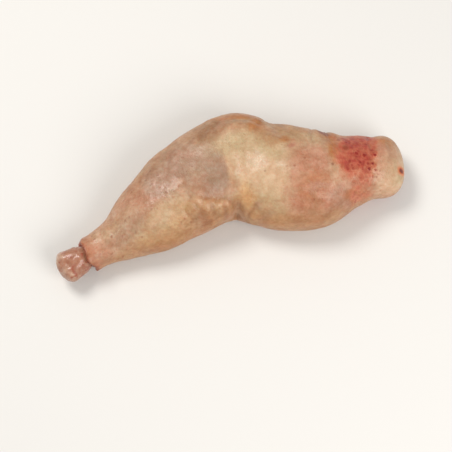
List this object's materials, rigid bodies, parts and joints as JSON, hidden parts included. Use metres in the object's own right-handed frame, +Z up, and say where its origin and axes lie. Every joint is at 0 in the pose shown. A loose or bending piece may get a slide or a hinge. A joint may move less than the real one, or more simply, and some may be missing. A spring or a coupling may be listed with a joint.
{
  "type": "raw chicken leg",
  "caption": "Raw chicken leg: thigh and drumstick in one piece under pale skin, bent at the knee and lying skin side up, with the cut joint showing at the hock.",
  "frame": {"origin": "middle of the leg's box in plan, on the surface that it lies on", "axes": "+X along the leg from the hock to the hip end, +Y to the kneecap's side, +Z up from the surface, skin side up"},
  "size_m": [0.2062, 0.1034, 0.0439],
  "materials": {
    "skin": "moist pale yellow-pink chicken skin over fat and flesh, with small bumps, a red bruise near the hip and bare red-pink meat underneath",
    "cartilage": "wet pinkish white gristle on the bone's end, with reddish brown stains"
  },
  "bodies": {
    "root": {"leg_flesh": "skin", "drumstick_bone": "cartilage"}
  },
  "joints": []
}
